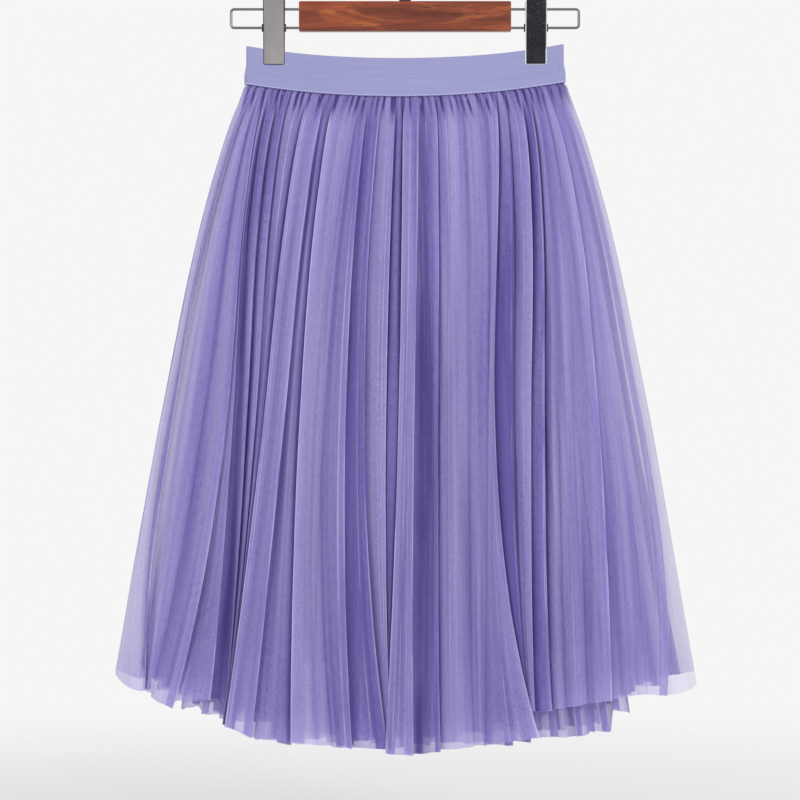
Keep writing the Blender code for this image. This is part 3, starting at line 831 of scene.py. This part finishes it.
def build_stitches(material):
    """The row of small stitches along the band's lower edge, all round."""
    edge = band_points(0.972, BAND_WALL / 2 + 0.0002)
    edge = np.concatenate([edge, edge[:1]])
    gaps = np.linalg.norm(np.diff(edge, axis=0), axis=1)
    reach = np.concatenate([[0.0], np.cumsum(gaps)])
    count = int(reach[-1] / STITCH_PITCH)
    net = bmesh.new()
    for i in range(count):
        middle = reach[-1] * (i + 0.5) / count
        ends = [
            Vector([np.interp(middle + side * STITCH_LENGTH / 2, reach, edge[:, axis]) for axis in range(3)])
            for side in (-1, 1)
        ]
        lie = (ends[1] - ends[0]).normalized()
        turn = lie.to_track_quat("Z", "Y").to_matrix().to_4x4()
        place = Matrix.Translation((ends[0] + ends[1]) / 2) @ turn
        size = Matrix.Diagonal((STITCH_THICKNESS / 2, STITCH_THICKNESS / 2, STITCH_LENGTH / 2, 1.0))
        bmesh.ops.create_uvsphere(net, u_segments=8, v_segments=6, radius=1.0, matrix=place @ size)
    mesh = bpy.data.meshes.new("band_stitches")
    net.to_mesh(mesh)
    net.free()
    mesh.shade_smooth()
    mesh.materials.append(material)
    made = bpy.data.objects.new("band_stitches", mesh)
    bpy.context.scene.collection.objects.link(made)
    return made


# Clips


def jaw_profile():
    """Height and distance from the middle plane down a jaw's inner face."""
    return (
        (CLIP_TOP, JAW_AT_TOP),
        (LOOP_LOWER, BARREL_RADIUS + 0.0006),
        (JAW_GRIP_TOP, JAW_GRIP),
        (CLIP_BOTTOM, JAW_GRIP),
    )


def build_jaw(name, side, facing, material):
    """A bent sheet jaw with rounded corners and rolled edges."""
    corner = 0.0022
    rows = 34
    from_ends = (0.0, 0.0004, 0.0008, 0.0009, 0.0015)
    heights = [CLIP_TOP - step for step in from_ends]
    heights += [mix(CLIP_TOP - corner, CLIP_BOTTOM + corner, i / rows) for i in range(rows + 1)]
    heights += [CLIP_BOTTOM + step for step in from_ends[::-1]]
    half_shares = (0.0, 0.3, 0.6, 0.8, 0.91, 0.92, 0.96, 1.0)
    shares = [-share for share in half_shares[:0:-1]] + list(half_shares)
    bends = [row[0] for row in jaw_profile()][::-1]
    depths = [row[1] for row in jaw_profile()][::-1]
    rings, rims = [], []
    for z in heights:
        from_end = min(CLIP_TOP - z, z - CLIP_BOTTOM)
        cut = 0.0
        if from_end < corner:
            cut = corner - math.sqrt(max(corner**2 - (corner - from_end) ** 2, 0.0))
        half = CLIP_WIDTH / 2 - cut
        ring = []
        for share in shares:
            x = half * share
            roll = max(abs(x) - (CLIP_WIDTH / 2 - 0.0012), 0.0) / 0.0012
            out = np.interp(z, bends, depths) + 0.00025 * (1 - (2 * x / CLIP_WIDTH) ** 2) - 0.0003 * roll**2
            ring.append((side * CLIP_X + x, facing * out, z))
        rings.append(ring)
        rims.append([1.0 if abs(share) > 0.915 or from_end < 0.00085 else 0.0 for share in shares])
    rings = np.array(rings)
    uv = rings[:, :, (0, 2)]
    jaw = grid_mesh(name, rings, {"rim": np.array(rims)}, uv, material)
    wall = jaw.modifiers.new("sheet", "SOLIDIFY")
    wall.thickness = CLIP_SHEET
    wall.offset = 1.0 if facing > 0 else -1.0
    edges = jaw.modifiers.new("edges", "BEVEL")
    edges.width = 0.0003
    edges.segments = 2
    edges.limit_method = "ANGLE"
    edges.angle_limit = math.radians(50)
    return jaw


def build_spring(name, side, material):
    """The torsion spring round the loop's wire, between two small pivot discs."""
    turns = 7
    wire = 0.0011
    radius = BARREL_RADIUS - wire / 2
    half = BARREL_WIDTH / 2 - 0.0013
    curve = bpy.data.curves.new(name, "CURVE")
    curve.dimensions = "3D"
    curve.bevel_depth = wire / 2
    curve.bevel_resolution = 3
    curve.use_fill_caps = True
    line = curve.splines.new("POLY")
    count = turns * 18
    line.points.add(count)
    for i, spot in enumerate(line.points):
        turn = 2 * math.pi * turns * i / count
        x = mix(-half, half, i / count)
        spot.co = (x, radius * math.cos(turn), radius * math.sin(turn), 1.0)
    coil = bpy.data.objects.new(name, curve)
    bpy.context.scene.collection.objects.link(coil)
    mesh = bpy.data.meshes.new_from_object(coil.evaluated_get(bpy.context.evaluated_depsgraph_get()))
    bpy.data.objects.remove(coil)
    net = bmesh.new()
    net.from_mesh(mesh)
    lie = Matrix.Rotation(math.pi / 2, 4, "Y")
    for end in (-1, 1):
        place = Matrix.Translation((end * (BARREL_WIDTH / 2 - 0.0007), 0.0, 0.0)) @ lie
        bmesh.ops.create_cone(
            net,
            cap_ends=True,
            segments=24,
            radius1=BARREL_RADIUS,
            radius2=BARREL_RADIUS * 0.9,
            depth=0.0013,
            matrix=place,
        )
    net.to_mesh(mesh)
    net.free()
    mesh.transform(Matrix.Translation((side * CLIP_X, 0.0, LOOP_LOWER)))
    mesh.shade_smooth()
    mesh.set_sharp_from_angle(angle=math.radians(45))
    mesh.materials.clear()
    mesh.materials.append(material)
    spring = bpy.data.objects.new(name, mesh)
    bpy.context.scene.collection.objects.link(spring)
    return spring


# Assembly


def finish_piece(piece, slot, *nodes):
    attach(piece, "root")
    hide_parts(*nodes)


def inner_hem(share):
    """The inner tulle's hem: stepped at both sides, and almost flat between."""
    return float(np.interp(share, *zip(*INNER_HEMS)))


def lining_hem(share):
    return LINING_LIFT + LINING_RISE * float(hem_rise(share))


def build_cloth():
    outer = tulle_look("tulle_outer")
    inner = tulle_look("tulle_inner", 0.9)
    lining = lining_look()
    fine, coarse = (3, 0.0009), (2, 0.0022)
    knots = plate_knots("outer", FRONT_PLATES, (0.083, 0.077), 1.8)
    sheet = build_sheet("tulle_front", "outer", knots, fine, 64, 1, 1.0, outer, 3.0)
    finish_piece(sheet, "tulle", "tulle_outer_front")
    plates = spread_plates("outer", 27, 11, 3.6, lambda share: float(hem_rise(share)), 0.7)
    knots = plate_knots("outer", plates, (0.082, 0.080), 1.0)
    sheet = build_sheet("tulle_back", "outer", knots, fine, 60, -1, 1.0, outer, 5.0)
    finish_piece(sheet, "tulle", "tulle_outer_back")
    for facing, end, seed in ((1, "front", 21), (-1, "back", 35)):
        plates = spread_plates("inner", 30, seed, 3.4, inner_hem, 0.8)
        knots = plate_knots("inner", plates, (0.085, 0.08), 1.0)
        sheet = build_sheet(
            "tulle_under_" + end, "inner", knots, coarse, 50, facing, 0.62, inner, seed / 3, pucker=0.7
        )
        finish_piece(sheet, "tulle", "tulle_inner_" + end)
        knots = wave_knots(11, seed + 2, 1.0, lining_hem)
        sheet = build_sheet(
            "lining_cloth_" + end, "lining", knots, coarse, 50, facing, 0.35, lining, seed / 7, pucker=0.2
        )
        finish_piece(sheet, "lining", "lining_" + end)
    finish_piece(build_band(band_look()), "elastic", "waistband")
    stitches = build_stitches(thread_look())
    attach(stitches, "root")


def build_hanger():
    light = steel_look("light_steel", (0.30, 0.285, 0.282), 0.0, 0.38, rim=(0.05, 0.05, 0.05))
    dark = steel_look("dark_steel", (0.026, 0.027, 0.034), 0.7, 0.24, rim=(0.55, 0.55, 0.54))
    wire = steel_look("wire_steel", (0.17, 0.17, 0.165), 0.0, 0.30)
    spring = steel_look("spring_steel", (0.055, 0.055, 0.055), 0.0, 0.35)
    looks = {
        "hanger_bar": wood_look(),
        "hanger_collar": spring,
        "hanger_hook": wire,
        "hanger_loop_left": wire,
        "hanger_loop_right": wire,
    }
    for node, look in looks.items():
        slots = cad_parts[node].material_slots
        for place in slots:
            place.material = look
    clips = ((-1, "clip_left", light, "light_steel"), (1, "clip_right", dark, "dark_steel"))
    for side, name, look, slot in clips:
        for facing, end in ((-1, "_front"), (1, "_back")):
            jaw = build_jaw(name + "_jaw" + end, side, facing, look)
            finish_piece(jaw, slot, name + end)
        finish_piece(build_spring(name + "_spring", side, spring), "dark_steel", name + "_barrel")


# Camera, light and floor

CAMERA_X = -0.00525
CAMERA_DISTANCE = 3.0
CAMERA_HEIGHT = -0.4957
VIEW_WIDTH = 0.84
SENSOR = 0.036
FLOOR_HEIGHT = -1.0


def add_light(name, place, target, size, power, colour=(1.0, 1.0, 1.0)):
    data = bpy.data.lights.new(name, "AREA")
    data.shape = "DISK"
    data.size = size
    data.energy = power
    data.color = colour
    light = bpy.data.objects.new(name, data)
    light.location = place
    light.rotation_euler = (Vector(target) - Vector(place)).to_track_quat("-Z", "Y").to_euler()
    bpy.context.scene.collection.objects.link(light)


def build_floor():
    look = Look("floor", roughness=0.9)
    look.set(look.shader, "Base Color", (0.80, 0.80, 0.80, 1.0))
    place = look.node("TexCoord", output="Object")
    reach = look.node("VectorMath", {0: place}, output="Value", operation="LENGTH")
    opacity = look.span(reach, 0.45, 1.9, 1.0, 0.0)
    clear = look.node("BsdfTransparent")
    mixed = look.node("MixShader", {0: opacity, 1: clear, 2: look.shader.outputs[0]})
    look.set(look.output, "Surface", mixed)
    mesh = bpy.data.meshes.new("floor")
    net = bmesh.new()
    bmesh.ops.create_circle(net, cap_ends=True, segments=96, radius=2.0)
    net.to_mesh(mesh)
    net.free()
    mesh.materials.append(look.material)
    floor = bpy.data.objects.new("floor", mesh)
    floor.location.z = FLOOR_HEIGHT
    bpy.context.scene.collection.objects.link(floor)


def build_stage():
    scene = bpy.context.scene
    scene.view_settings.view_transform = "Standard"
    scene.cycles.transparent_max_bounces = 48
    data = bpy.data.cameras.new("camera")
    data.sensor_width = SENSOR * 1000
    data.lens = SENSOR * 1000 * CAMERA_DISTANCE / VIEW_WIDTH
    camera = bpy.data.objects.new("camera", data)
    camera.location = (CAMERA_X, -CAMERA_DISTANCE, CAMERA_HEIGHT)
    camera.rotation_euler = (math.pi / 2, 0.0, 0.0)
    scene.collection.objects.link(camera)
    scene.camera = camera
    world = bpy.data.worlds.new("studio")
    world.use_nodes = True
    sky = world.node_tree.nodes["Background"]
    sky.inputs["Color"].default_value = (0.92, 0.92, 0.92, 1.0)
    sky.inputs["Strength"].default_value = 1.0
    scene.world = world
    add_light("key", (1.4, -2.4, 0.8), (0.0, 0.0, -0.5), 1.0, 26.0)
    add_light("fill", (-1.8, -2.0, 0.0), (0.0, 0.0, -0.5), 1.6, 8.0)
    build_floor()


build_stage()
build_cloth()
build_hanger()
